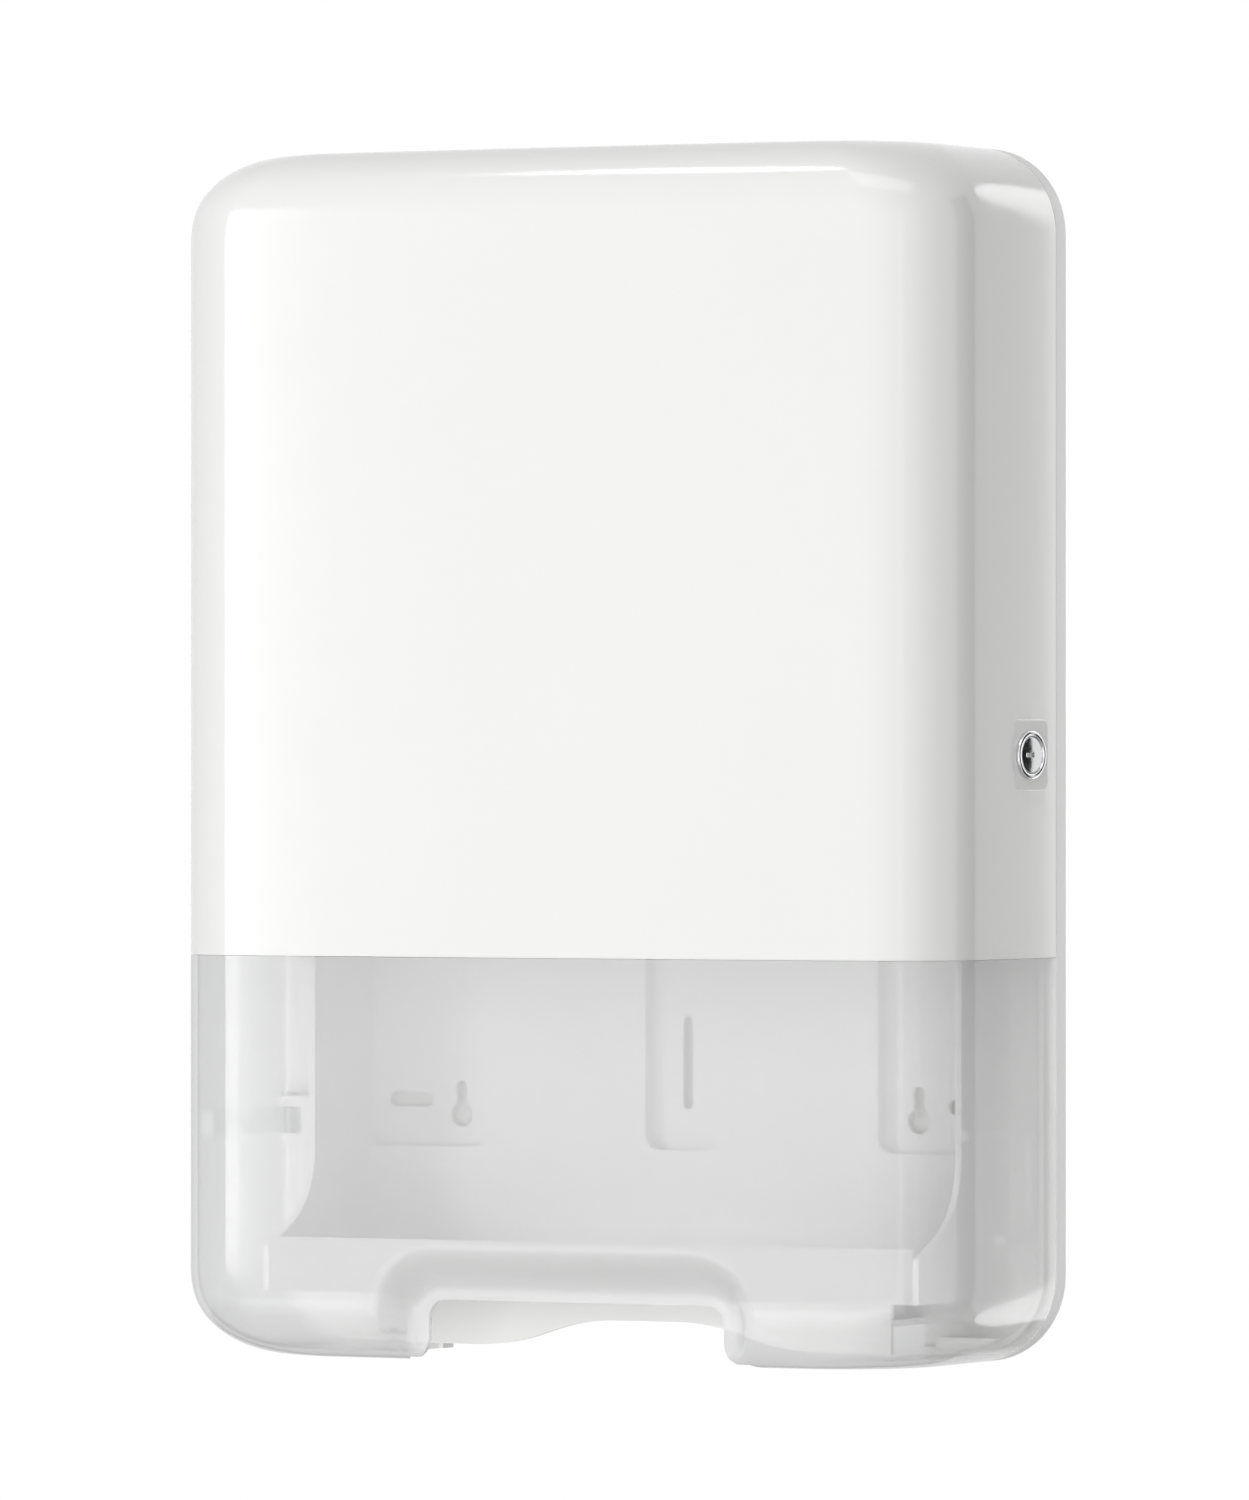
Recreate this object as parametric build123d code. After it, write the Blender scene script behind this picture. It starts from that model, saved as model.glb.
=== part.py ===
from build123d import *
import os
from math import cos, radians, sin

# Wall-hung dispenser for folded hand towels, in millimetres.
# The origin is on the wall, at the middle of the outline. The front faces -Y.

# Outline of the closed dispenser
height = 444.0
width = 322.0
depth = 107.0
corner_radius = 32.0
side_round = 33.0
edge_round = 23.0
front_bow = 4.0

# The towel path and the wall plate sit a little toward the lock side
path_x = 7.5

# Cover shells
cover_wall = 2.6
split_z = -74.0
lap_height = 8.0
lap_wall = 1.6
lap_gap = 0.05
lap_rear_gap = 1.0
split_gap = 0.2

# Seam between the cover and the housing
seam_depth = 8.0
seam_gap = 0.5

# Towel outlet in the window
notch_half = 60.5
notch_rise = 22.5
notch_round = 7.0
leg_round = 9.0
flare_side = 17.0
flare_rise = 20.0
flare_depth = 14.0
flare_round = 12.0

# Housing
sheet = 2.4
rim_wall = 2.6
lip_gap = 0.6
lip_wall = 2.0
lip_length = 4.0
lip_start_gap = 41.0
guide_gap = 18.8
guide_setback = 35.4
guide_top_gap = 37.0
guide_curve_rise = 31.0
guide_ease = 4.0

# Channels that are pressed back to the wall
channel_end_gap = 75.5
channel_round = 6.0
middle_channel_half = 15.0
side_channel_width = 51.3

# Openings for wall screws, placed from the edges of their channels
keyhole_inset = 14.1
keyhole_lower_gap = 11.9
keyhole_upper_gap = 24.7
keyhole_radius = 4.7
keyhole_rise = 12.8
keyhole_neck = 4.5
slot_inset = 15.9
slot_gap = 17.3
slot_length = 18.5
slot_width = 5.5
long_slot_gap = 32.4
long_slot_length = 34.4
long_slot_width = 4.2

# Tray that carries the towels
tray_rise = 24.0
tray_edge_height = 20.0
tray_gap = 6.0
throat_half = 62.0
throat_rear_gap = 2.0
throat_front_gap = 7.4
throat_round = 12.0

# Outlet floor behind the throat
floor_end_gap = 61.0
floor_reach = 36.0
floor_rise = 3.4
wave_rise = 10.0
wave_half = 72.0
wave_flat = 11.0
floor_clearance = 1.5
floor_top_gap = 0.5
funnel_setback = 5.0

# Cover hinge on the left
hinge_inset = 7.0
hinge_end_gap = 85.0
pin_radius = 2.0
pin_fit = 0.05
pin_head_radius = 3.0
pin_head_height = 1.5
eye_radius = 4.6
eye_height = 9.0
eye_mouth = 3.2
eye_gap = 0.4
lug_radius = 3.8
lug_thickness = 4.0
post_gap = 2.4
post_thickness = 6.0
arm_depth = 76.0
arm_width = 5.0
foot_length = 12.0
foot_thickness = 2.5

# Small screws
screw_radius = 1.5
screw_head_radius = 2.9
screw_head_height = 1.8
screw_fit = 0.05
screw_grip = 2.0
cross_width = 0.8
cross_length = 3.2
cross_depth = 0.9

# Lock on the right
lock_depth = 34.0
lock_tilt = 10.0
pad_width = 24.0
pad_height = 26.0
pad_raise = 1.6
pad_thickness = 6.5
pad_round = 3.0
bezel_radius = 8.8
bezel_height = 1.4
bezel_bore = 6.9
case_radius = 6.8
case_length = 11.0
plug_radius = 5.2
plug_fit = 0.05
plug_recess = 0.5
nut_width = 17.0
nut_height = 2.6
key_radius = 1.0
key_slot_width = 1.4
key_slot_length = 3.6
key_depth = 5.0
cam_gap = 0.3
cam_thickness = 2.0
cam_width = 6.0
cam_length = 15.0
cam_square = 4.0
cam_hub_radius = 3.1
cam_fit = 0.05
cam_head_radius = 2.8
cam_head_height = 1.4

# Keeper that the cam turns behind
keeper_low_z = 8.0
keeper_high_z = 16.0
keeper_thickness = 3.0
keeper_gap = 0.6
keeper_reach = 8.0
keeper_foot = 14.0
keeper_sheet = 2.4

# Catches on the right, one high and one low on each half
catch_end_gap = 85.0
small_catch_end_gap = 46.0
catch_height = 4.0
catch_width = 5.0
catch_hook = 4.0
catch_sheet = 2.4
catch_front = 76.0
catch_rear = 20.0
small_catch_front = 46.0
stop_inset = 43.0
stop_width = 26.0
stop_depth = 12.0
stop_height = 4.0

# Sizes that follow from those above
half_width = width / 2
half_height = height / 2
cover_rear = seam_depth + seam_gap
notch_top_z = notch_rise - half_height
guide_x = half_width - path_x - guide_gap
guide_top_z = half_height - guide_top_gap
channel_half_height = half_height - channel_end_gap
channel_outer = guide_x - sheet
channel_inner = channel_outer - side_channel_width
keyhole_x = channel_inner + keyhole_inset
keyhole_lower_z = keyhole_lower_gap - channel_half_height
keyhole_upper_z = channel_half_height - keyhole_upper_gap
slot_x = channel_outer - slot_inset
slot_z = channel_half_height - slot_gap
long_slot_z = channel_half_height - long_slot_gap
tray_floor_z = tray_rise - half_height
tray_edge_z = tray_floor_z + tray_edge_height
tray_depth = depth - flare_depth - cover_wall - tray_gap
guide_depth = tray_depth - guide_setback
guide_curve_z = tray_edge_z + guide_curve_rise
throat_rear = floor_reach + throat_rear_gap
throat_front = tray_depth - throat_front_gap
floor_half = half_width - floor_end_gap
floor_low_z = floor_rise - half_height
floor_high_z = floor_low_z + wave_rise
funnel_start = depth - flare_depth - funnel_setback
hinge_x = -half_width + hinge_inset
hinge_y = -cover_rear - hinge_inset
hinge_z = half_height - hinge_end_gap
catch_z = half_height - catch_end_gap
small_catch_z = half_height - small_catch_end_gap
far = 2 * (width + height)


def box_between(x0, x1, y0, y1, z0, z1):
    """Box from its opposite corners."""
    middle = ((x0 + x1) / 2, (y0 + y1) / 2, (z0 + z1) / 2)
    return Pos(*middle) * Box(abs(x1 - x0), abs(y1 - y0), abs(z1 - z0))


def upright(x, y, z0, z1, radius):
    """Vertical cylinder between two heights."""
    return Pos(x, y, (z0 + z1) / 2) * Cylinder(radius, z1 - z0)


def outline_prism(inset, y_front, y_rear):
    """Front-view outline, drawn in by an inset, between two planes that face the wall."""
    face = RectangleRounded(width - 2 * inset, height - 2 * inset, corner_radius - inset)
    return extrude(Plane.XZ.offset(-y_rear) * face, y_rear - y_front)


def outline_ring(outer_inset, inner_inset, y_front, y_rear):
    """Band that follows the front-view outline."""
    return outline_prism(outer_inset, y_front, y_rear) - outline_prism(inner_inset, y_front, y_rear)


def plan_prism(inset):
    """Plan of the cover: straight sides, rounded front edges and a slightly bowed front."""
    half = half_width - inset
    radius = side_round - inset
    front = -(depth - inset)
    flat = half - radius
    shoulder = front + front_bow
    start = shoulder + radius
    reach = radius * cos(radians(45))
    lines = [
        Line((half, 0), (half, start)),
        ThreePointArc((half, start), (flat + reach, start - reach), (flat, shoulder)),
        ThreePointArc((flat, shoulder), (0, front), (-flat, shoulder)),
        ThreePointArc((-flat, shoulder), (-flat - reach, start - reach), (-half, start)),
        Line((-half, start), (-half, 0)),
        Line((-half, 0), (half, 0)),
    ]
    return extrude(Plane.XY.offset(-half_height) * make_face(lines), height)


def side_prism(inset):
    """Side view of the cover, with its top and bottom front edges rounded."""
    front = -(depth - inset)
    top = half_height - inset
    radius = edge_round - inset
    reach = radius * (1 - cos(radians(45)))
    lines = [
        Line((0, top), (front + radius, top)),
        ThreePointArc((front + radius, top), (front + reach, top - reach), (front, top - radius)),
        Line((front, top - radius), (front, radius - top)),
        ThreePointArc((front, radius - top), (front + reach, reach - top), (front + radius, -top)),
        Line((front + radius, -top), (0, -top)),
        Line((0, -top), (0, top)),
    ]
    return extrude(Plane.YZ * make_face(lines), half_width, both=True)


def flare_tool(grow):
    """Rounded hollow that draws the front back around the outlet."""
    tool = box_between(
        path_x - notch_half - flare_side - grow, path_x + notch_half + flare_side + grow,
        -depth - far, -depth + flare_depth + grow,
        -half_height - far, notch_top_z + flare_rise + grow,
    )
    top = tool.faces().sort_by(Axis.Z)[-1]
    corners = [edge for edge in top.edges() if abs(edge.tangent_at(0).Y) > 0.9]
    tool = fillet(corners, flare_round + grow)
    rear = tool.faces().sort_by(Axis.Y)[-1]
    return fillet([edge for edge in rear.edges() if edge.center().Z > -half_height - far / 2], flare_round)


def cover_form(inset):
    """Closed form of the cover, drawn in by an inset."""
    form = plan_prism(inset) & outline_prism(inset, -depth, 0) & side_prism(inset)
    return form - flare_tool(inset)


def zone(z0, z1, y_rear):
    """Everything in front of a plane and between two heights."""
    return box_between(-far, far, -far, y_rear, z0, z1)


def hinge_relief():
    """Material to cut so that the cover edge rolls clear of the rim as it opens."""
    corner = box_between(-far, hinge_x, hinge_y, 0, -half_height, half_height)
    return corner - upright(hinge_x, hinge_y, -half_height, half_height, hinge_inset)


def lock_frame(inward):
    """Plane on the lock axis, this far in from the face of the lock pad, with Z outward."""
    tilt = radians(lock_tilt)
    outward = Vector(cos(tilt), -sin(tilt), 0)
    face = Vector(half_width + pad_raise, -lock_depth, 0)
    return Plane(origin=face - outward * inward, x_dir=(0, 0, 1), z_dir=outward)


def lock_disc(inward, thickness, radius):
    """Disc on the lock axis; its outer face is this far in from the pad."""
    return extrude(lock_frame(inward + thickness) * Circle(radius), thickness)


def lock_pad_block(inward, thickness):
    """Rounded pad footprint as a block."""
    face = RectangleRounded(pad_height, pad_width, pad_round)
    return extrude(lock_frame(inward + thickness) * face, thickness)


def make_cover_upper():
    """White upper shell with the flat pad for the lock."""
    shell = (cover_form(0) - cover_form(cover_wall)) & zone(split_z + split_gap, half_height, -cover_rear)
    shell -= hinge_relief()
    clearance = extrude(lock_frame(0) * RectangleRounded(pad_height, pad_width, pad_round), far)
    shell = shell - clearance + lock_pad_block(0, pad_thickness)
    return shell - lock_disc(-bezel_height, case_length + cover_wall, case_radius + plug_fit)


def make_cover_window():
    """Clear lower shell with the towel outlet and the lap that the upper shell slips over."""
    inner = cover_form(cover_wall)
    below = zone(-half_height, split_z, -cover_rear)
    shell = (cover_form(0) - inner) & below
    lap_rear = -(cover_rear + lip_length + lap_rear_gap)
    core = cover_form(cover_wall + lap_wall)
    root = (cover_form(cover_wall / 2) - core) & zone(split_z - lap_height, split_z, lap_rear)
    tongue = (cover_form(cover_wall + lap_gap) - core) & zone(split_z, split_z + lap_height, lap_rear)
    shell = shell + root + tongue - hinge_relief()
    return shell - outlet_cut() - floor_room()


def outlet_cut():
    """Notch through the lower front edge."""
    notch = box_between(
        path_x - notch_half, path_x + notch_half,
        -far, far, -far, notch_top_z,
    )
    top = notch.faces().sort_by(Axis.Z)[-1]
    notch = fillet([edge for edge in top.edges() if abs(edge.tangent_at(0).Y) > 0.9], notch_round)
    for side in (-1, 1):
        edge_x = path_x + side * notch_half
        leg_x = edge_x + side * leg_round
        leg_z = leg_round - half_height
        corner = box_between(edge_x, leg_x, -far, far, -half_height, leg_z)
        notch += corner - Pos(leg_x, 0, leg_z) * Rot(90, 0, 0) * Cylinder(leg_round, 2 * far)
    return notch


def floor_room():
    """Room in the bottom of the window for the outlet floor, narrower towards the front."""
    half = floor_half + floor_clearance
    rear = floor_reach + seam_gap
    corners = [
        (-half, 0), (-half, -rear), (-notch_half, -funnel_start),
        (notch_half, -funnel_start), (half, -rear), (half, 0),
    ]
    plan = make_face(Polyline(*corners, close=True))
    return extrude(Plane.XY.offset(-half_height) * Pos(path_x, 0) * plan, edge_round)


def channel(x0, x1, grow, y_front, y_rear):
    """Rounded upright block for one channel, grown by a wall."""
    face = RectangleRounded(x1 - x0 + 2 * grow, 2 * (channel_half_height + grow), channel_round + grow)
    spot = Plane.XZ.offset(-y_rear) * Pos(path_x + (x0 + x1) / 2, 0)
    return extrude(spot * face, y_rear - y_front)


def channel_spans():
    """Edges of the three channels, measured from the towel path."""
    return [
        (-channel_outer, -channel_inner),
        (-middle_channel_half, middle_channel_half),
        (channel_inner, channel_outer),
    ]


def keyhole(x, z):
    """Hole for a screw head with a neck above it."""
    head = Pos(x, z) * Circle(keyhole_radius)
    neck_height = keyhole_rise - keyhole_neck / 2
    neck = Pos(x, z + neck_height / 2) * Rectangle(keyhole_neck, neck_height)
    tip = Pos(x, z + neck_height) * Circle(keyhole_neck / 2)
    return head + neck + tip


def wall_openings():
    """All openings for wall screws as one cutting tool."""
    shapes = [keyhole(path_x + side * keyhole_x, z)
              for side in (-1, 1) for z in (keyhole_lower_z, keyhole_upper_z)]
    straight = slot_length - slot_width
    shapes += [Pos(path_x + side * slot_x, level * slot_z) * SlotCenterToCenter(straight, slot_width)
               for side in (-1, 1) for level in (-1, 1)]
    long_slot = Rot(0, 0, 90) * SlotCenterToCenter(long_slot_length - long_slot_width, long_slot_width)
    shapes += [Pos(path_x, level * long_slot_z) * long_slot for level in (-1, 1)]
    tool = Part()
    for shape in shapes:
        tool += extrude(Plane.XZ * shape, seam_depth)
    return tool


def side_wall(side):
    """Guide wall beside the towels; its front edge runs forward into the tray."""
    rear = -seam_depth + sheet
    front = -guide_depth
    tray_front = -tray_depth
    bend = tray_edge_z - guide_ease
    lines = [
        Line((rear, tray_floor_z), (tray_front, tray_floor_z)),
        Line((tray_front, tray_floor_z), (tray_front, bend)),
        Bezier((tray_front, bend), (tray_front + guide_ease, tray_edge_z),
               (front, tray_edge_z + guide_ease), (front, guide_curve_z)),
        Line((front, guide_curve_z), (front, guide_top_z)),
        Line((front, guide_top_z), (rear, guide_top_z)),
        Line((rear, guide_top_z), (rear, tray_floor_z)),
    ]
    outer_x = path_x + side * guide_x
    return extrude(Plane.YZ.offset(outer_x) * make_face(lines), -side * sheet)


def wave_line():
    """Lower edge of the outlet floor's front wall: low ends and a raised middle."""
    low = floor_low_z
    high = floor_high_z
    middle = (wave_half + wave_flat) / 2
    return [
        Line((path_x - floor_half, low), (path_x - wave_half, low)),
        Bezier((path_x - wave_half, low), (path_x - middle, low),
               (path_x - middle, high), (path_x - wave_flat, high)),
        Line((path_x - wave_flat, high), (path_x + wave_flat, high)),
        Bezier((path_x + wave_flat, high), (path_x + middle, high),
               (path_x + middle, low), (path_x + wave_half, low)),
        Line((path_x + wave_half, low), (path_x + floor_half, low)),
    ]


def floor_opening():
    """Opening in the bottom of the housing that the outlet floor closes."""
    return box_between(
        path_x - floor_half, path_x + floor_half,
        -far, far, -half_height - sheet, floor_high_z + sheet,
    )


def make_back_housing():
    """Wall plate with its rim, channels and guide walls."""
    body = outline_prism(0, -seam_depth, -seam_depth + sheet)
    body += outline_ring(0, rim_wall, -seam_depth, 0)
    lip_inset = cover_wall + lip_gap
    lip = outline_ring(lip_inset, lip_inset + lip_wall, -seam_depth - lip_length, -seam_depth + sheet)
    body += lip & box_between(lip_start_gap - half_width, far, -far, 0, -far, far)
    for x0, x1 in channel_spans():
        body += channel(x0, x1, sheet, -seam_depth, 0)
    for x0, x1 in channel_spans():
        body -= channel(x0, x1, 0, -seam_depth, -sheet)
    body -= wall_openings()
    body -= floor_opening()
    body += side_wall(-1) + side_wall(1)
    for x, z in bracket_screw_spots():
        body -= bracket_screw_bore(x, z)
    return body - keeper_screw_bore(-sheet)


def make_outlet_floor():
    """Floor behind the throat, and a front wall that guides the towels down past it."""
    left = path_x - floor_half
    right = path_x + floor_half
    top = tray_floor_z - floor_top_gap
    closing = [
        Line((right, floor_low_z), (right, top)),
        Line((right, top), (left, top)),
        Line((left, top), (left, floor_low_z)),
    ]
    face = make_face(wave_line() + closing)
    wall = extrude(Plane.XZ.offset(floor_reach - sheet) * face, sheet)
    return wall + box_between(left, right, -floor_reach, 0, floor_high_z, floor_high_z + sheet)


def make_towel_tray():
    """Tray between the guide walls, with a throat for the towels and a low front wall."""
    left = path_x - channel_outer
    right = path_x + channel_outer
    tray = box_between(left, right, -tray_depth, -seam_depth, tray_floor_z, tray_floor_z + sheet)
    tray += box_between(left, right, -tray_depth, -tray_depth + sheet, tray_floor_z, tray_edge_z)
    throat = RectangleRounded(2 * throat_half, throat_front - throat_rear, throat_round)
    middle = -(throat_front + throat_rear) / 2
    return tray - extrude(Plane.XY.offset(tray_floor_z) * Pos(path_x, middle) * throat, sheet)


def bracket_screw_spots():
    """Places of the screws that hold both hinge brackets."""
    foot_x = hinge_x + eye_radius + post_gap + post_thickness + foot_length / 2
    spread = eye_height / 2
    return [(foot_x, side * hinge_z + offset) for side in (-1, 1) for offset in (-spread, spread)]


def bracket_screw_bore(x, z):
    """Screw hole in the wall plate."""
    spot = Plane.XZ.offset(seam_depth - sheet) * Pos(x, z)
    return extrude(spot * Circle(screw_radius + screw_fit), sheet)


def make_hinge_bracket(side):
    """Post with two lugs that carry the hinge pin."""
    middle = side * hinge_z
    reach = eye_height / 2 + eye_gap
    post_x = hinge_x + eye_radius + post_gap
    front = hinge_y - lug_radius
    z0 = middle - reach - lug_thickness
    z1 = middle + reach + lug_thickness
    bracket = box_between(post_x, post_x + post_thickness, front, -seam_depth, z0, z1)
    foot_end = post_x + post_thickness + foot_length
    bracket += box_between(post_x, foot_end, -seam_depth - foot_thickness, -seam_depth, z0, z1)
    for low in (z0, middle + reach):
        bracket += box_between(hinge_x, post_x, front, hinge_y + lug_radius, low, low + lug_thickness)
        bracket += upright(hinge_x, hinge_y, low, low + lug_thickness, lug_radius)
    bracket -= upright(hinge_x, hinge_y, z0, z1, pin_radius + pin_fit)
    for x, z in bracket_screw_spots():
        spot = Plane.XZ.offset(seam_depth) * Pos(x, z)
        bracket -= extrude(spot * Circle(screw_radius + screw_fit), foot_thickness)
    return bracket


def make_hinge_pin(side):
    """Steel pin with a flat head, dropped in from above."""
    middle = side * hinge_z
    reach = eye_height / 2 + eye_gap + lug_thickness
    pin = upright(hinge_x, hinge_y, middle - reach, middle + reach, pin_radius)
    return pin + upright(hinge_x, hinge_y, middle + reach, middle + reach + pin_head_height, pin_head_radius)


def make_hinge_arm(side):
    """Arm inside the left side of the cover that ends in an open eye round the pin."""
    middle = side * hinge_z
    z0 = middle - eye_height / 2
    z1 = middle + eye_height / 2
    arm = box_between(-half_width, hinge_x, -arm_depth, hinge_y, z0, z1)
    arm += box_between(hinge_x - arm_width, hinge_x + pin_radius / 2, -arm_depth, hinge_y, z0, z1)
    arm += upright(hinge_x, hinge_y, z0, z1, eye_radius)
    arm -= upright(hinge_x, hinge_y, z0, z1, pin_radius + pin_fit)
    arm -= box_between(hinge_x, hinge_x + far, hinge_y - eye_mouth / 2, hinge_y + eye_mouth / 2, z0, z1)
    return arm & cover_form(cover_wall)


def make_screw(spot):
    """Pan-head screw with a cross recess; Z of the plane points out of the head."""
    length = screw_grip + foot_thickness
    shank = extrude(spot.offset(-length) * Circle(screw_radius), length)
    head = extrude(spot * Circle(screw_head_radius), screw_head_height)
    recess = Rectangle(cross_length, cross_width) + Rectangle(cross_width, cross_length)
    return shank + head - extrude(spot.offset(screw_head_height - cross_depth) * recess, cross_depth)


def make_bracket_screws():
    """Four screws of the hinge brackets."""
    screws = []
    for x, z in bracket_screw_spots():
        spot = Plane(origin=(x, -seam_depth - foot_thickness, z), x_dir=(1, 0, 0), z_dir=(0, -1, 0))
        screws.append(make_screw(spot))
    return Compound(children=screws)


def make_lock_bezel():
    """Bright ring round the lock face."""
    ring = lock_disc(-bezel_height, bezel_height, bezel_radius)
    return ring - lock_disc(-bezel_height, bezel_height, bezel_bore)


def make_lock_case():
    """Round case of the lock, from the ring to the cam."""
    length = case_length + bezel_height - plug_recess
    case = lock_disc(plug_recess - bezel_height, length, case_radius)
    return case - lock_disc(plug_recess - bezel_height, length, plug_radius + plug_fit)


def make_lock_nut():
    """Flat nut that draws the case against the inside of the pad."""
    face = RegularPolygon(nut_width / 2, 6, major_radius=False)
    nut = extrude(lock_frame(pad_thickness + nut_height) * face, nut_height)
    return nut - lock_disc(pad_thickness, nut_height, case_radius + plug_fit)


def make_lock_barrel():
    """Turning plug with a keyway and a square tail for the cam."""
    length = case_length + bezel_height - plug_recess
    barrel = lock_disc(plug_recess - bezel_height, length, plug_radius)
    tail = Rectangle(cam_square, cam_square)
    tail_length = cam_gap + cam_thickness
    barrel += extrude(lock_frame(case_length + tail_length) * tail, tail_length)
    mouth = lock_frame(plug_recess - bezel_height + key_depth)
    slot = Pos(0, key_slot_length / 2) * Rectangle(key_slot_width, key_slot_length)
    barrel -= extrude(mouth * (Circle(key_radius) + slot), key_depth)
    thread_depth = 2 * cam_gap + screw_grip
    barrel -= extrude(lock_frame(case_length + tail_length) * Circle(screw_radius), thread_depth)
    return barrel


def make_lock_cam():
    """Flat tongue on the tail of the plug; it points to the wall when unlocked."""
    spot = lock_frame(case_length + cam_gap + cam_thickness)
    straight = cam_length - cam_width / 2
    shape = Pos(0, -straight / 2) * Rectangle(cam_width, straight)
    shape += Circle(cam_hub_radius) + Pos(0, -straight) * Circle(cam_width / 2)
    shape -= Rectangle(cam_square + 2 * cam_fit, cam_square + 2 * cam_fit)
    return extrude(spot * shape, cam_thickness)


def make_cam_screw():
    """Screw and washer head that hold the cam on."""
    inner = case_length + cam_gap + cam_thickness
    head = lock_disc(inner, cam_head_height, cam_head_radius)
    shank = lock_disc(inner - 2 * cam_gap - screw_grip, 2 * cam_gap + screw_grip, screw_radius)
    recess = Rectangle(cross_length, cross_width) + Rectangle(cross_width, cross_length)
    return head + shank - extrude(lock_frame(inner + cam_head_height) * recess, cross_depth)


def keeper_front_y():
    """Rear face of the keeper, just in front of the raised cam."""
    centre = lock_frame(case_length + cam_gap + cam_thickness).origin
    return centre.Y - cam_width / 2 - keeper_gap


def make_lock_keeper():
    """Hook on the guide wall that stops the raised cam."""
    rear = keeper_front_y()
    front = rear - keeper_thickness
    wall_x = path_x + guide_x
    keeper = box_between(wall_x, wall_x + keeper_reach, front, rear, keeper_low_z, keeper_high_z)
    foot_top = keeper_high_z + keeper_foot
    foot_rear = rear + keeper_thickness
    keeper += box_between(wall_x, wall_x + keeper_sheet, front, foot_rear, keeper_low_z, foot_top)
    return keeper - keeper_screw_bore(keeper_sheet)


def keeper_screw_z():
    """Height of the keeper's screw."""
    return keeper_high_z + keeper_foot / 2


def keeper_screw_bore(length):
    """Hole for the keeper's screw, measured out from the guide wall."""
    spot = Plane(origin=(path_x + guide_x, keeper_front_y(), keeper_screw_z()),
                 x_dir=(0, 1, 0), z_dir=(1, 0, 0))
    return extrude(spot * Circle(screw_radius + screw_fit), length)


def make_keeper_screw():
    """Screw that holds the keeper to the guide wall."""
    spot = Plane(origin=(path_x + guide_x + keeper_sheet, keeper_front_y(), keeper_screw_z()),
                 x_dir=(0, 1, 0), z_dir=(1, 0, 0))
    return make_screw(spot)


def make_catch_arm(side):
    """Springy arm inside the right side of the cover, with a hook at its rear end."""
    inner = half_width - cover_wall
    z0 = side * catch_z - catch_height / 2
    z1 = z0 + catch_height
    arm = box_between(inner - catch_width, half_width, -catch_front, -catch_rear, z0, z1)
    small_z = side * small_catch_z
    arm += box_between(inner - catch_width, half_width, -small_catch_front, -catch_rear,
                       small_z - catch_height / 2, small_z + catch_height / 2)
    arm += box_between(inner - catch_sheet, half_width, -catch_rear - catch_hook, -catch_rear,
                       min(z0, small_z), max(z1, small_z))
    return arm & cover_form(cover_wall)


def make_bottom_stop():
    """Block on the rim that carries the free lower corner of the cover."""
    x0 = half_width - stop_inset
    inset = cover_wall + lip_gap + lip_wall
    low = inset - half_height
    block = box_between(x0, x0 + stop_width, -seam_depth - stop_depth, -seam_depth, low, low + stop_height)
    return block & outline_prism(inset, -depth, 0)


def all_parts():
    """Every piece by its node name."""
    return {
        "back_housing": make_back_housing(),
        "outlet_floor": make_outlet_floor(),
        "towel_tray": make_towel_tray(),
        "cover_upper": make_cover_upper(),
        "cover_window": make_cover_window(),
        "hinge_arm_upper": make_hinge_arm(1),
        "hinge_arm_lower": make_hinge_arm(-1),
        "hinge_bracket_upper": make_hinge_bracket(1),
        "hinge_bracket_lower": make_hinge_bracket(-1),
        "hinge_pin_upper": make_hinge_pin(1),
        "hinge_pin_lower": make_hinge_pin(-1),
        "bracket_screws": make_bracket_screws(),
        "lock_bezel": make_lock_bezel(),
        "lock_case": make_lock_case(),
        "lock_nut": make_lock_nut(),
        "lock_barrel": make_lock_barrel(),
        "lock_cam": make_lock_cam(),
        "cam_screw": make_cam_screw(),
        "lock_keeper": make_lock_keeper(),
        "keeper_screw": make_keeper_screw(),
        "catch_arm_upper": make_catch_arm(1),
        "catch_arm_lower": make_catch_arm(-1),
        "bottom_stop": make_bottom_stop(),
    }


os.makedirs("parts", exist_ok=True)
for name, solid in all_parts().items():
    export_step(solid, f"parts/{name}.step")
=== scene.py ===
import math
import bpy
import bmesh
from mathutils import Matrix, Vector


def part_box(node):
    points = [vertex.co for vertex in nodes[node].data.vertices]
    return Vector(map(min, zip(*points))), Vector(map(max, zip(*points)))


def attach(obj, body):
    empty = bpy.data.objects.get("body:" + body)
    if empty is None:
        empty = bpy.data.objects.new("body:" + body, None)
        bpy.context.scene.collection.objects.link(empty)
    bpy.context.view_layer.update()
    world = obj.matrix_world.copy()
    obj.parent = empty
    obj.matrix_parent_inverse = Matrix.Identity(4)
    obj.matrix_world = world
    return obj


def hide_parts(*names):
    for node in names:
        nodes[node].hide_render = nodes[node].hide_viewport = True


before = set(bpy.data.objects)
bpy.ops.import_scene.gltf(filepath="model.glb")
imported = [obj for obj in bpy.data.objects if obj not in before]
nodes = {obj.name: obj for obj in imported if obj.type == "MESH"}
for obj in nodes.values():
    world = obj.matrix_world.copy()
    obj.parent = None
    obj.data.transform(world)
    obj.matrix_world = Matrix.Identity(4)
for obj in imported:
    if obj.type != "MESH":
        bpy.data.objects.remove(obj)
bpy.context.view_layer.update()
MM = 0.001

# Outline of the closed dispenser in millimetres, as the frame has it
HEIGHT = 444.0
WIDTH = 322.0
DEPTH = 107.0
CORNER = 32.0
EDGE = 23.0
BEND = 33.0
BOW = 4.0
WALL = 2.6
REAR = 8.5
SPLIT = -74.0
SPLIT_GAP = 0.2
PATH_X = 7.5
HINGE_X = -154.0
HINGE_Y = -15.5
HINGE_ROLL = 7.0

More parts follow.
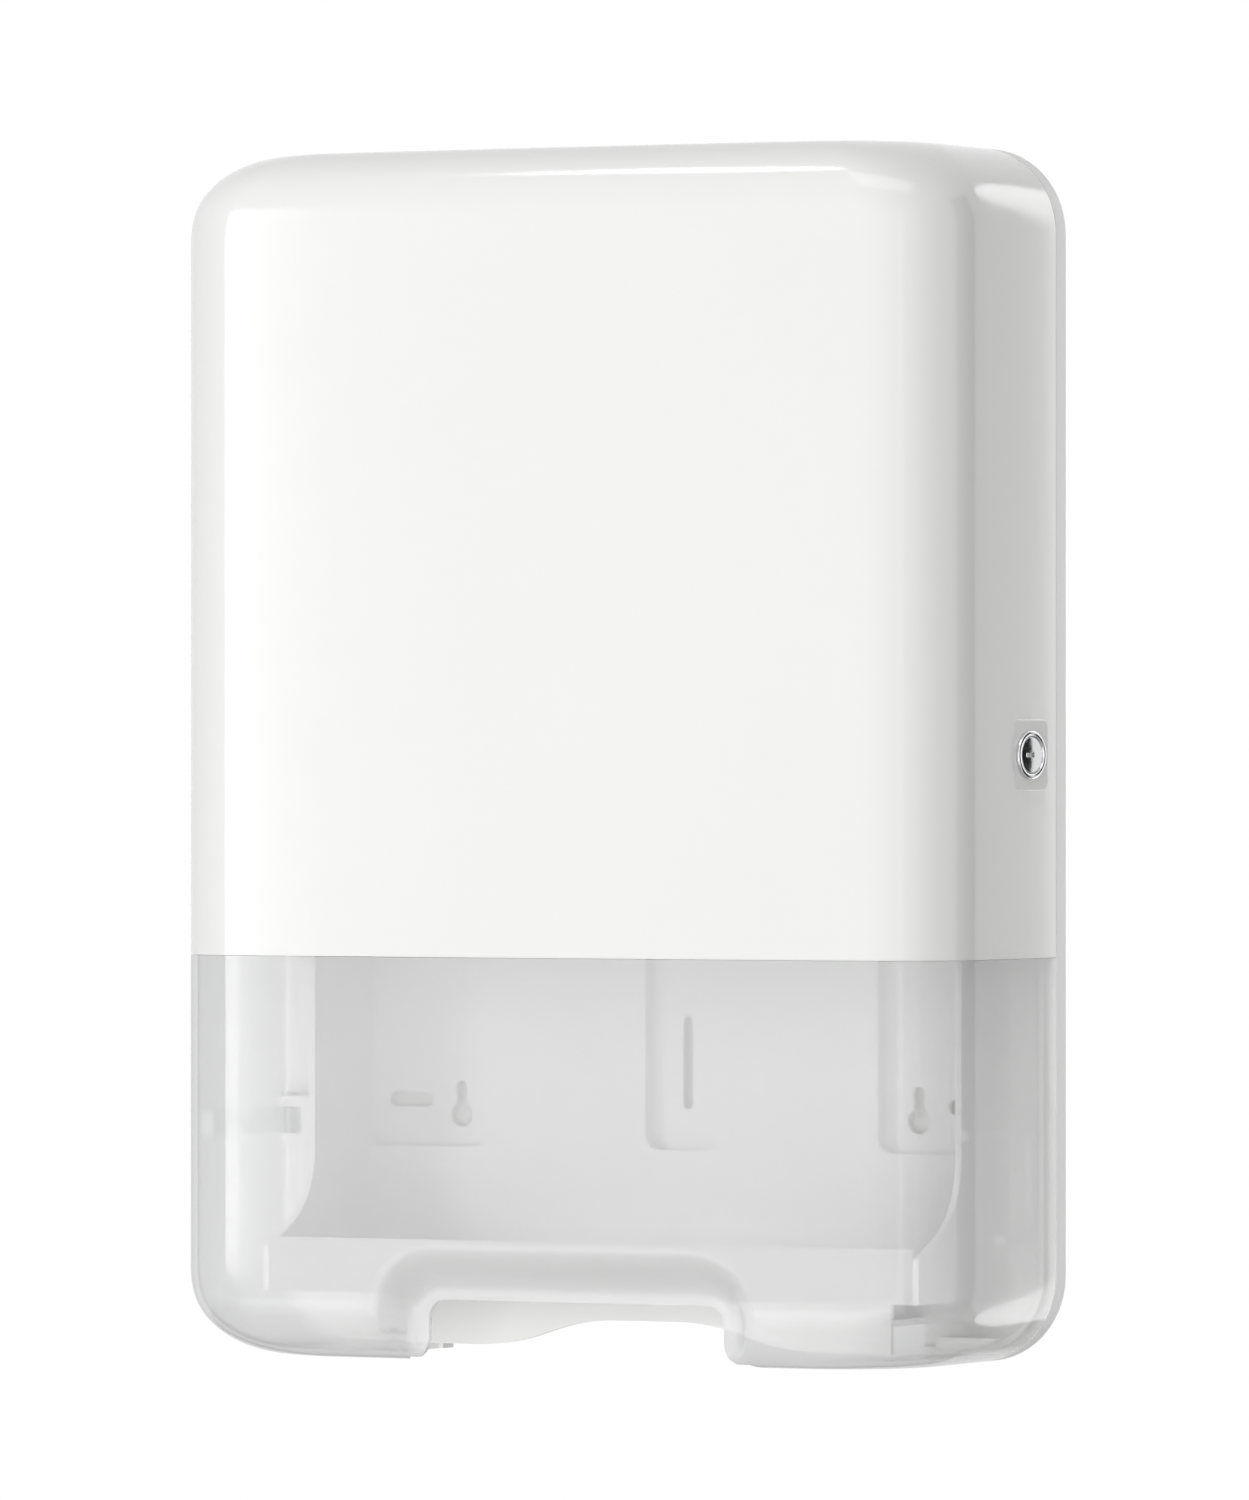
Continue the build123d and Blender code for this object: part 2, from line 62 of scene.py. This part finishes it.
# Outlet in the lower front edge
NOTCH_HALF = 60.5
NOTCH_TOP = -199.5
NOTCH_CORNER = 7.0
LEG_CORNER = 9.0
FLARE_START = 1.5
FLARE_END = 21.0
FLARE_DEPTH = 13.5
FLARE_BLEND = 5.0
ROOM_GAP = 1.5
SEAM_GAP = 0.5

# Lock on the right side
LOCK_DEPTH = 34.0
LOCK_TILT = math.radians(10)
PAD_WIDTH = 24.0
PAD_HEIGHT = 26.0
PAD_RAISE = 1.6
FACE_RADIUS = 6.7
FACE_LEVEL = 0.92
FACE_DOME = 0.43
KEY_RADIUS = 1.0
KEY_SLOT = 3.6
KEY_SLOT_HALF = 0.7


# Materials

def colour(code):
    """An sRGB hex value as linear red, green, blue and 1."""
    parts = [int(code[i:i + 2], 16) / 255 for i in (1, 3, 5)]
    return [c / 12.92 if c <= 0.04045 else ((c + 0.055) / 1.055) ** 2.4 for c in parts] + [1.0]


def add(tree, kind, settings=None, **inputs):
    """Adds a node; an input is a value or a (node, output) pair to link."""
    node = tree.nodes.new(kind)
    for key, value in (settings or {}).items():
        setattr(node, key, value)
    for key, value in inputs.items():
        by_index = key[0] == "i" and key[1:].isdigit()
        socket = node.inputs[int(key[1:]) if by_index else key.replace("_", " ")]
        if isinstance(value, tuple) and isinstance(value[0], bpy.types.Node):
            tree.links.new(value[0].outputs[value[1]], socket)
        else:
            socket.default_value = value
    return node


def start_material(name):
    """Empty node material with its output."""
    material = bpy.data.materials.new(name)
    material.use_nodes = True
    tree = material.node_tree
    tree.nodes.clear()
    return material, tree


def close_material(tree, shader):
    """Links the finished shader to the material's output."""
    add(tree, "ShaderNodeOutputMaterial", Surface=(shader, "BSDF"))


def grain(tree, size, detail):
    """Noise fixed to the piece, with specks of a size in metres."""
    place = add(tree, "ShaderNodeTexCoord")
    return add(tree, "ShaderNodeTexNoise", Vector=(place, "Object"), Scale=1 / size, Detail=detail)


def two_tone(tree, pattern, dark, light):
    """Blend of two close colours by a pattern."""
    return add(tree, "ShaderNodeMix", {"data_type": "RGBA"}, i0=(pattern, "Fac"),
               i6=colour(dark), i7=colour(light))


def spread(tree, pattern, low, high):
    """Pattern stretched to a range of roughness."""
    return add(tree, "ShaderNodeMapRange", Value=(pattern, "Fac"), From_Min=0.3, From_Max=0.7,
               To_Min=low, To_Max=high)


def moulded_white_abs():
    """Injection-moulded white ABS: a bright gloss with a very slight ripple and faint tone drift."""
    material, tree = start_material("moulded_white_abs")
    tone = two_tone(tree, grain(tree, 0.12, 2.0), "#F3F3F2", "#F6F6F5")
    ripple = grain(tree, 0.006, 1.0)
    gloss = spread(tree, ripple, 0.11, 0.15)
    relief = add(tree, "ShaderNodeBump", Height=(ripple, "Fac"), Strength=0.05, Distance=0.0002)
    shader = add(tree, "ShaderNodeBsdfPrincipled", Base_Color=(tone, 2), Roughness=(gloss, "Result"),
                 Normal=(relief, "Normal"), IOR=1.54)
    close_material(tree, shader)
    return material


def moulded_clear_san():
    """Moulded clear styrene plastic: hazy face on; where it is seen edge on, a dark grey is painted
    into its colour as a painted reflection of darker surroundings, a dark line.
    """
    material, tree = start_material("moulded_clear_san")
    slant = add(tree, "ShaderNodeLayerWeight", Blend=0.35)
    edge = add(tree, "ShaderNodeMapRange", Value=(slant, "Facing"), From_Min=0.6, From_Max=0.9)
    haze = add(tree, "ShaderNodeMapRange", Value=(edge, "Result"), To_Min=0.46, To_Max=0.85)
    side = add(tree, "ShaderNodeNewGeometry")
    inner = add(tree, "ShaderNodeMapRange", Value=(side, "Backfacing"), To_Min=1.0, To_Max=0.1)
    haze = add(tree, "ShaderNodeMath", {"operation": "MULTIPLY"}, i0=(haze, "Result"),
               i1=(inner, "Result"))
    path = add(tree, "ShaderNodeLightPath")
    lit = add(tree, "ShaderNodeMapRange", Value=(path, "Is Shadow Ray"), To_Min=1.0, To_Max=0.05)
    haze = add(tree, "ShaderNodeMath", {"operation": "MULTIPLY"}, i0=(haze, "Value"),
               i1=(lit, "Result"))
    tone = two_tone(tree, grain(tree, 0.05, 2.0), "#EEEFEF", "#F3F4F4")
    # Painted reflection: the colour turns to dark grey #6E7071 where the sheet is seen edge on,
    # standing in for darker surroundings reflected there.
    tone = add(tree, "ShaderNodeMix", {"data_type": "RGBA"}, i0=(edge, "Result"),
               i6=(tone, 2), i7=colour("#6E7071"))
    ripple = grain(tree, 0.008, 1.0)
    relief = add(tree, "ShaderNodeBump", Height=(ripple, "Fac"), Strength=0.05, Distance=0.0002)
    shader = add(tree, "ShaderNodeBsdfPrincipled", Base_Color=(tone, 2), Roughness=0.08,
                 Normal=(relief, "Normal"), IOR=1.57, Specular_IOR_Level=1.0, Alpha=(haze, "Value"))
    close_material(tree, shader)
    return material


def moulded_hips(name, dark, light):
    """Moulded polystyrene with a fine spark-eroded texture: satin."""
    material, tree = start_material(name)
    tone = two_tone(tree, grain(tree, 0.08, 3.0), dark, light)
    grit = grain(tree, 0.0012, 3.0)
    satin = spread(tree, grit, 0.42, 0.52)
    relief = add(tree, "ShaderNodeBump", Height=(grit, "Fac"), Strength=0.15, Distance=0.0001)
    shader = add(tree, "ShaderNodeBsdfPrincipled", Base_Color=(tone, 2), Roughness=(satin, "Result"),
                 Normal=(relief, "Normal"), IOR=1.59)
    close_material(tree, shader)
    return material


def chrome_plate():
    """Chrome on turned brass: mirror bright, with fine wipe marks."""
    material, tree = start_material("chrome_plate")
    wipe = grain(tree, 0.0015, 3.0)
    polish = spread(tree, wipe, 0.08, 0.16)
    relief = add(tree, "ShaderNodeBump", Height=(wipe, "Fac"), Strength=0.05, Distance=0.0001)
    shader = add(tree, "ShaderNodeBsdfPrincipled", Base_Color=colour("#DADBDC"), Metallic=1.0,
                 Roughness=(polish, "Result"), Normal=(relief, "Normal"))
    close_material(tree, shader)
    return material


def zinc_plated_steel():
    """Zinc-plated steel: dull silver with a cloudy passivated tone."""
    material, tree = start_material("zinc_plated_steel")
    cloud = grain(tree, 0.004, 4.0)
    tone = two_tone(tree, cloud, "#A9ADB2", "#C4C7C9")
    dull = spread(tree, cloud, 0.28, 0.42)
    shader = add(tree, "ShaderNodeBsdfPrincipled", Base_Color=(tone, 2), Metallic=1.0,
                 Roughness=(dull, "Result"))
    close_material(tree, shader)
    return material


white_abs = moulded_white_abs()
clear_san = moulded_clear_san()
plate_hips = moulded_hips("moulded_white_hips", "#F4F4F3", "#F8F8F7")
tray_hips = moulded_hips("moulded_grey_hips", "#CFCFCE", "#D4D4D3")
chrome = chrome_plate()
zinc = zinc_plated_steel()


# Mesh helpers

def make_object(name, verts, faces, material, smooth=True):
    """Mesh object in metres from points in millimetres."""
    mesh = bpy.data.meshes.new(name)
    mesh.from_pydata([(x * MM, y * MM, z * MM) for x, y, z in verts], [], faces)
    shell = bmesh.new()
    shell.from_mesh(mesh)
    bmesh.ops.remove_doubles(shell, verts=shell.verts, dist=0.00001)
    bmesh.ops.recalc_face_normals(shell, faces=shell.faces)
    shell.to_mesh(mesh)
    shell.free()
    obj = bpy.data.objects.new(name, mesh)
    bpy.context.scene.collection.objects.link(obj)
    if material:
        mesh.materials.append(material)
    for face in mesh.polygons:
        face.use_smooth = smooth
    return obj


def bake(obj):
    """Applies the modifiers of an object."""
    graph = bpy.context.evaluated_depsgraph_get()
    done = bpy.data.meshes.new_from_object(obj.evaluated_get(graph))
    obj.modifiers.clear()
    obj.data = done


def cut(obj, cutter):
    """Subtracts a closed cutter and removes it."""
    step = obj.modifiers.new("cut", "BOOLEAN")
    step.operation = "DIFFERENCE"
    step.solver = "EXACT"
    step.use_self = True
    step.object = cutter
    bake(obj)
    bpy.data.objects.remove(cutter)


def soften(obj, width, segments=2, angle=35):
    """Rounds the sharp edges by a width in millimetres."""
    step = obj.modifiers.new("soften", "BEVEL")
    step.width = width * MM
    step.segments = segments
    step.limit_method = "ANGLE"
    step.angle_limit = math.radians(angle)
    step.harden_normals = True


def block(name, ring, far_ring, material=None):
    """Closed block between two rings with as many points."""
    count = len(ring)
    faces = [tuple(range(count)), tuple(range(2 * count - 1, count - 1, -1))]
    faces += [(i, count + i, count + (i + 1) % count, (i + 1) % count) for i in range(count)]
    return make_object(name, ring + far_ring, faces, material, smooth=bool(material))


def prism(name, outline, y0, y1):
    """Cutter with a front-view outline between two depths."""
    return block(name, [(x, y0, z) for x, z in outline], [(x, y1, z) for x, z in outline])


def slab(name, plan, z0, z1):
    """Cutter with an outline seen from above between two heights."""
    return block(name, [(x, y, z0) for x, y in plan], [(x, y, z1) for x, y in plan])


def arc(cx, cz, radius, start, end, steps):
    """Points of an arc, in degrees."""
    turns = [math.radians(start + (end - start) * i / steps) for i in range(steps + 1)]
    return [(cx + radius * math.cos(t), cz + radius * math.sin(t)) for t in turns]


# Cover shells

def half_width(z, inset):
    """Half width of the cover at a height, with the rounded corners of the outline."""
    start = HEIGHT / 2 - CORNER
    radius = CORNER - inset
    over = min(max(abs(z) - start, 0), radius)
    return WIDTH / 2 - CORNER + math.sqrt(radius ** 2 - over ** 2)


def front_depth(z, inset):
    """Depth of the front at a height, with the rounded top and bottom edges."""
    start = HEIGHT / 2 - EDGE
    radius = EDGE - inset
    over = min(max(abs(z) - start, 0), radius)
    return -DEPTH + EDGE - math.sqrt(radius ** 2 - over ** 2)


def smooth_step(t):
    """Rise from 0 to 1 with level ends."""
    t = min(max(t, 0), 1)
    return t * t * t * (t * (6 * t - 15) + 10)


def flare(x, y, z, inset):
    """Depth after the front is drawn back round the outlet."""
    dx = abs(x - PATH_X) - (NOTCH_HALF - NOTCH_CORNER)
    dz = z - (NOTCH_TOP - NOTCH_CORNER)
    away = math.hypot(max(dx, 0), max(dz, 0)) - NOTCH_CORNER
    share = 1 - smooth_step((away - FLARE_START) / (FLARE_END - FLARE_START))
    if share <= 0:
        return y
    drawn = -DEPTH + inset + BOW * (x / (WIDTH / 2)) ** 2 + FLARE_DEPTH * share
    reach = FLARE_BLEND * share
    overlap = max(reach - abs(y - drawn), 0) / reach
    return max(y, drawn) + overlap ** 2 * reach / 4


def rear_edge(x):
    """Depth of the cover's left rear edge this far out, where it rolls round the hinge axis."""
    lift = max(x + HINGE_X, 0)
    return HINGE_Y + math.sqrt(HINGE_ROLL ** 2 - lift ** 2) if lift else -REAR


def left_rear_points(half, outer, inset):
    """Points of the left rear edge and the depth where the flat of the left side starts."""
    steps = (0.92, 0.7, 0.45, 0.2)
    if inset:
        edge = rear_edge(outer - WALL * steps[0])
        points = [(-half, edge - 0.2 - 0.5 * k) for k in range(len(steps))]
        return points, points[-1][1]
    points = [(WALL * k - outer, rear_edge(outer - WALL * k)) for k in steps]
    return points, min(rear_edge(outer), points[-1][1] - 0.3)


def cover_row(z, inset, fronts, with_flare):
    """Points round the cover at one height, from its left rear edge to its right rear edge."""
    half = half_width(z, inset)
    front = front_depth(z, inset)
    bend = BEND - inset
    start = front + BOW + bend
    side_steps, bend_steps = 8, 24
    left, first = left_rear_points(half, half_width(z, 0), inset)
    left += [(-half, first + (start - first) * t / side_steps) for t in range(1, side_steps)]
    right = [(half, -REAR - 0.3 * k) for k in range(4)]
    first = -REAR - 0.9
    right += [(half, first + (start - first) * t / side_steps) for t in range(1, side_steps)]
    for k in range(bend_steps + 1):
        turn = math.radians(90 * k / bend_steps)
        x = half - bend + bend * math.cos(turn)
        y = front + BOW * (x / half) ** 2 + bend * (1 - math.sin(turn))
        left.append((-x, y))
        right.append((x, y))
    across = [(half - bend) * (2 * k / fronts - 1) for k in range(1, fronts)]
    middle = [(x, front + BOW * (x / half) ** 2) for x in across]
    row = left + middle + right[::-1]
    if with_flare:
        row = [(x, flare(x, y, z, inset)) for x, y in row]
    return [(x, y, z) for x, y in row]


def cover_shell(name, heights, inner_heights, fronts, material, with_flare):
    """Closed shell from rows that run from the split line to the closed end."""
    outer = [cover_row(z, 0, fronts, with_flare) for z in heights]
    inner = [cover_row(z, WALL, fronts, with_flare) for z in inner_heights]
    count = len(outer[0])
    rows = len(heights)
    verts = [p for row in outer + inner for p in row]

    def at(side, r, c):
        return (side * rows + r) * count + c

    faces = []
    for r in range(rows - 1):
        for c in range(count - 1):
            faces.append((at(0, r, c), at(0, r, c + 1), at(0, r + 1, c + 1), at(0, r + 1, c)))
            faces.append((at(1, r, c), at(1, r + 1, c), at(1, r + 1, c + 1), at(1, r, c + 1)))
        faces.append((at(0, r, 0), at(0, r + 1, 0), at(1, r + 1, 0), at(1, r, 0)))
        last = count - 1
        faces.append((at(0, r, last), at(1, r, last), at(1, r + 1, last), at(0, r + 1, last)))
    end = rows - 1
    for c in range(count // 2 - 1):
        far = count - 1 - c
        faces.append((at(0, end, c), at(0, end, c + 1), at(0, end, far - 1), at(0, end, far)))
        faces.append((at(1, end, c), at(1, end, far), at(1, end, far - 1), at(1, end, c + 1)))
    for c in range(count - 1):
        faces.append((at(0, 0, c), at(1, 0, c), at(1, 0, c + 1), at(0, 0, c + 1)))
    faces.append((at(0, end, 0), at(0, end, count - 1), at(1, end, count - 1), at(1, end, 0)))
    return make_object(name, verts, faces, material)


def end_heights(inset, side, steps=18):
    """Heights of the rows over a rounded end, closer together near the end."""
    top = HEIGHT / 2 - inset
    start = HEIGHT / 2 - CORNER
    turns = [math.pi / 2 * k / steps for k in range(steps + 1)]
    return [side * (start + (top - start) * math.sin(t)) for t in turns]


def upper_heights(inset):
    """Heights of the white cover's rows, from the split line up."""
    low = SPLIT + SPLIT_GAP
    start = HEIGHT / 2 - CORNER
    steps = 22
    return [low + (start - low) * k / steps for k in range(steps)] + end_heights(inset, 1)


def window_heights(inset):
    """Heights of the clear cover's rows, from the split line down."""
    flare_top = NOTCH_TOP + FLARE_END + 1
    tall = 8
    heights = [SPLIT + (flare_top - SPLIT) * k / tall for k in range(tall)]
    start = -HEIGHT / 2 + CORNER
    fine = 6
    heights += [flare_top + (start - flare_top) * k / fine for k in range(fine)]
    return heights + end_heights(inset, -1, 26)


cover_upper = cover_shell("white_cover", upper_heights(0), upper_heights(WALL), 61, white_abs, False)
soften(cover_upper, 0.3)
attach(cover_upper, "cover")
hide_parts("cover_upper")


def notch_outline():
    """Front view of the outlet notch, open at the bottom between its rounded legs."""
    left, right, bottom = PATH_X - NOTCH_HALF, PATH_X + NOTCH_HALF, -HEIGHT / 2
    below = bottom - 5
    outline = [(left - LEG_CORNER - 2, below)]
    outline += arc(left - LEG_CORNER, bottom + LEG_CORNER, LEG_CORNER, -90, 0, 8)
    outline += arc(left + NOTCH_CORNER, NOTCH_TOP - NOTCH_CORNER, NOTCH_CORNER, 180, 90, 8)
    outline += arc(right - NOTCH_CORNER, NOTCH_TOP - NOTCH_CORNER, NOTCH_CORNER, 90, 0, 8)
    outline += arc(right + LEG_CORNER, bottom + LEG_CORNER, LEG_CORNER, 180, 270, 8)
    return outline + [(right + LEG_CORNER + 2, below)]


def floor_room_plan():
    """Plan of the opening in the cover's bottom, round the outlet floor and wider to the rear."""
    low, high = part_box("outlet_floor")
    half_room = (high[0] - low[0]) / MM / 2 + ROOM_GAP
    floor_front = low[1] / MM - SEAM_GAP
    wall_back = -DEPTH + FLARE_DEPTH + WALL + 0.4
    half_mouth = NOTCH_HALF + LEG_CORNER
    side = [(half_mouth, wall_back), (half_room, floor_front), (half_room, 5)]
    return [(PATH_X - x, y) for x, y in reversed(side)] + [(PATH_X + x, y) for x, y in side]


cover_window = cover_shell("clear_cover", window_heights(0), window_heights(WALL), 137, clear_san, True)
cut(cover_window, prism("notch_cutter", notch_outline(), -DEPTH - 20, 5))
cut(cover_window, slab("floor_cutter", floor_room_plan(), -HEIGHT / 2 - 5, -HEIGHT / 2 + EDGE))
soften(cover_window, 0.45)
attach(cover_window, "cover")
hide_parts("cover_window")


# Lock

def lock_matrix():
    """Places a shape made along +Z so that its Z runs out along the lock axis."""
    out = Vector((math.cos(LOCK_TILT), -math.sin(LOCK_TILT), 0))
    up = Vector((0, 0, 1))
    side = up.cross(out)
    turn = Matrix((side, up, out)).transposed().to_4x4()
    spot = Vector((WIDTH / 2 + PAD_RAISE, -LOCK_DEPTH, 0)) * MM
    return Matrix.Translation(spot) @ turn


def lathe(name, profile, material, steps=96):
    """Turned piece from (radius, height) points in millimetres."""
    verts, faces = [], []
    for radius, height in profile:
        for k in range(steps):
            turn = 2 * math.pi * k / steps
            verts.append((radius * math.cos(turn), radius * math.sin(turn), height))
    for r in range(len(profile) - 1):
        for k in range(steps):
            nxt = (k + 1) % steps
            faces.append((r * steps + k, r * steps + nxt, (r + 1) * steps + nxt, (r + 1) * steps + k))
    return make_object(name, verts, faces, material)


def rounded_block(name, width, height, depth, corner, material):
    """Pad with rounded corners, its face at Z = 0."""
    w, h = width / 2 - corner, height / 2 - corner
    ring = arc(w, h, corner, 0, 90, 8) + arc(-w, h, corner, 90, 180, 8)
    ring += arc(-w, -h, corner, 180, 270, 8) + arc(w, -h, corner, 270, 360, 8)
    return block(name, [(x, y, 0) for x, y in ring], [(x, y, -depth) for x, y in ring], material)


def make_lock_pad():
    """Flat pad round the lock, part of the white cover's moulding."""
    pad = rounded_block("lock_pad", PAD_WIDTH, PAD_HEIGHT, 6.4, 3.0, white_abs)
    pad.data.transform(lock_matrix())
    soften(pad, 0.9, 4, 40)
    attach(pad, "cover")


def make_lock_ring():
    """Round ring with a rolled edge."""
    profile = [(6.9, -0.3), (6.9, 0.8), (7.1, 1.15), (7.4, 1.35), (7.8, 1.4), (8.25, 1.36), (8.6, 1.2),
               (8.75, 0.95), (8.8, 0.6), (8.8, -0.3), (6.9, -0.3)]
    ring = lathe("lock_ring", profile, chrome)
    ring.data.transform(lock_matrix())
    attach(ring, "cover")
    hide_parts("lock_bezel")


def keyway_outline():
    """Round hole with a slot from the middle towards the front."""
    meet = 180 - math.degrees(math.asin(KEY_SLOT_HALF / KEY_RADIUS))
    outline = [(-KEY_SLOT, -KEY_SLOT_HALF)] + arc(0, 0, KEY_RADIUS, -meet, meet, 16)
    return outline + [(-KEY_SLOT, KEY_SLOT_HALF)]


def make_lock_face():
    """Slightly domed face of the plug; it turns with the plug."""
    rings = 12
    shares = [k / rings for k in range(rings + 1)]
    dome = [(FACE_RADIUS * t, FACE_LEVEL + FACE_DOME * (1 - t ** 2)) for t in shares]
    back = FACE_LEVEL - 0.3
    face = lathe("lock_face", dome + [(FACE_RADIUS, back), (0, back)], chrome)
    cut(face, slab("keyway_cutter", keyway_outline(), FACE_LEVEL - 2, FACE_LEVEL + 2))
    face.data.transform(lock_matrix())
    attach(face, "lock_plug")


make_lock_pad()
make_lock_ring()
make_lock_face()


# Pieces kept from the frame

def dress(names, material, width):
    """Gives the frame's own pieces a finish and slightly rounded edges."""
    for name in names:
        piece = nodes[name]
        piece.data.materials.clear()
        piece.data.materials.append(material)
        soften(piece, width)


dress(["back_housing", "hinge_bracket_upper", "hinge_bracket_lower", "bottom_stop", "outlet_floor"],
      plate_hips, 0.4)
dress(["towel_tray"], tray_hips, 0.4)
dress(["hinge_arm_upper", "catch_arm_upper"], white_abs, 0.3)
dress(["hinge_arm_lower", "catch_arm_lower"], clear_san, 0.3)
dress(["hinge_pin_upper", "hinge_pin_lower", "bracket_screws", "keeper_screw", "cam_screw", "lock_nut",
       "lock_cam", "lock_keeper", "lock_barrel"], zinc, 0.2)
dress(["lock_case"], chrome, 0.15)


# Light, floor and camera

def soft_lamp(name, spot, aim, width, height, power):
    """Large rectangular soft box that faces a point."""
    data = bpy.data.lights.new(name, "AREA")
    data.shape = "RECTANGLE"
    data.size = width
    data.size_y = height
    data.energy = power
    lamp = bpy.data.objects.new(name, data)
    lamp.location = spot
    lamp.rotation_euler = (Vector(aim) - Vector(spot)).to_track_quat("-Z", "Y").to_euler()
    lamp.visible_camera = False
    bpy.context.scene.collection.objects.link(lamp)


# Each lamp's name, place, aim, width, height and power
LAMPS = [
    ("key_left", (-1.657, -1.872, 0.2), (0, 0, 0), 0.62, 1.0, 10),
    ("broad_front", (0, -4.0, -0.5), (0, 0, 0), 5.6, 2.8, 41),
    ("front_right", (2.4, -2.7, 0.3), (0, 0, 0), 1.6, 2.0, 7),
    ("side_right", (2.6, -0.4, 0.2), (0, 0, 0), 1.4, 1.8, 1.5),
    ("top_fill", (0.5, -1.4, 2.1), (0, 0, 0), 2.4, 1.2, 17),
    ("strip_above", (-0.77, -0.77, 1.86), (0.06, -0.1, 0.21), 0.3, 0.2, 3),
    ("low_bounce", (0, -1.6, -1.15), (0, -0.05, -0.15), 3.0, 1.5, 13),
    ("rear_strip", (0.2125, 0.15, 0), (0.161, -0.03, 0), 0.045, 0.6, 0.2),
]
for lamp_row in LAMPS:
    soft_lamp(*lamp_row)


def white_surround():
    """White behind the object and in its gloss, dimmed as painted shade where it is seen through the
    clear cover; softer light on its surfaces.
    """
    world = bpy.data.worlds.new("white_surround")
    world.use_nodes = True
    tree = world.node_tree
    tree.nodes.clear()
    path = add(tree, "ShaderNodeLightPath")
    seen = add(tree, "ShaderNodeMath", {"operation": "MAXIMUM"}, i0=(path, "Is Camera Ray"),
               i1=(path, "Is Glossy Ray"))
    seen = add(tree, "ShaderNodeMath", {"operation": "MAXIMUM"}, i0=(seen, "Value"),
               i1=(path, "Is Transmission Ray"))
    # Painted shade: seen through the clear cover, and so through the plate's slots, the backdrop is
    # dimmed to 0.62 as a wall in shade.
    through = add(tree, "ShaderNodeMath", {"operation": "GREATER_THAN"},
                  i0=(path, "Transparent Depth"), i1=0.5)
    bright = add(tree, "ShaderNodeMapRange", Value=(through, "Value"), To_Min=1.0, To_Max=0.62)
    strength = add(tree, "ShaderNodeMapRange", Value=(seen, "Value"), To_Min=0.27,
                   To_Max=(bright, "Result"))
    back = add(tree, "ShaderNodeBackground", Color=(1, 1, 1, 1), Strength=(strength, "Result"))
    add(tree, "ShaderNodeOutputWorld", Surface=(back, "Background"))
    bpy.context.scene.world = world


def pale_floor():
    """Pale floor well below the wall-hung object."""
    size, level = 2500, -1300
    verts = [(-size, -size, level), (size, -size, level), (size, size, level), (-size, size, level)]
    material, tree = start_material("painted_pale_floor")
    tone = two_tone(tree, grain(tree, 1 / 3, 2.0), "#EDEDEC", "#F0F0EF")
    shader = add(tree, "ShaderNodeBsdfPrincipled", Base_Color=(tone, 2), Roughness=0.6)
    close_material(tree, shader)
    make_object("floor", verts, [(0, 1, 2, 3)], material, smooth=False)


def shaded_wall():
    """Patch of painted wall behind the plate; it shows through the slots, but not from behind."""
    left, right, low, high, gap = -140, 150, -170, 180, 1.5
    material, tree = start_material("painted_wall")
    tone = two_tone(tree, grain(tree, 0.003, 3.0), "#E6E5E2", "#EDECE9")
    side = add(tree, "ShaderNodeNewGeometry")
    front = add(tree, "ShaderNodeMath", {"operation": "SUBTRACT"}, i0=1.0, i1=(side, "Backfacing"))
    shader = add(tree, "ShaderNodeBsdfPrincipled", Base_Color=(tone, 2), Roughness=0.8,
                 Alpha=(front, "Value"))
    close_material(tree, shader)
    verts = [(left, gap, low), (right, gap, low), (right, gap, high), (left, gap, high)]
    make_object("wall_patch", verts, [(0, 1, 2, 3)], material, smooth=False)


def dark_flag():
    """Black card that shows only in the gloss, as the dark side of the studio."""
    away, turn, half, tall = 1200, math.radians(117), 360, 900
    material, tree = start_material("black_felt")
    tone = two_tone(tree, grain(tree, 0.002, 2.0), "#101010", "#181818")
    shader = add(tree, "ShaderNodeBsdfPrincipled", Base_Color=(tone, 2), Roughness=0.95)
    close_material(tree, shader)
    out = (math.sin(turn), -math.cos(turn))
    middle = (WIDTH / 2 + away * out[0], -LOCK_DEPTH + away * out[1])
    ends = [(middle[0] + s * half * out[1], middle[1] - s * half * out[0]) for s in (-1, 1)]
    verts = [(x, y, -tall) for x, y in ends] + [(x, y, tall) for x, y in reversed(ends)]
    card = make_object("dark_flag", verts, [(0, 1, 2, 3)], material, smooth=False)
    card.visible_camera = False
    card.visible_diffuse = False
    card.visible_transmission = False
    card.visible_shadow = False


def photo_camera():
    """Long lens from the right, level with the middle of the object."""
    distance, turn, slide = 4.457, math.radians(27.26), -0.01805
    focal_px, rise_px, tall_px = 12002, 4.97, 1500
    data = bpy.data.cameras.new("photo_camera")
    data.sensor_fit = "AUTO"
    data.sensor_width = 36
    data.lens = focal_px / tall_px * data.sensor_width
    data.clip_end = 100
    camera = bpy.data.objects.new("photo_camera", data)
    across = Vector((math.cos(turn), math.sin(turn), 0))
    away = Vector((math.sin(turn), -math.cos(turn), 0))
    camera.location = away * distance + across * slide
    look = -away + Vector((0, 0, rise_px / focal_px))
    camera.rotation_euler = look.to_track_quat("-Z", "Y").to_euler()
    bpy.context.scene.collection.objects.link(camera)
    bpy.context.scene.camera = camera


white_surround()
pale_floor()
shaded_wall()
dark_flag()
photo_camera()
bpy.context.scene.view_settings.view_transform = "Standard"
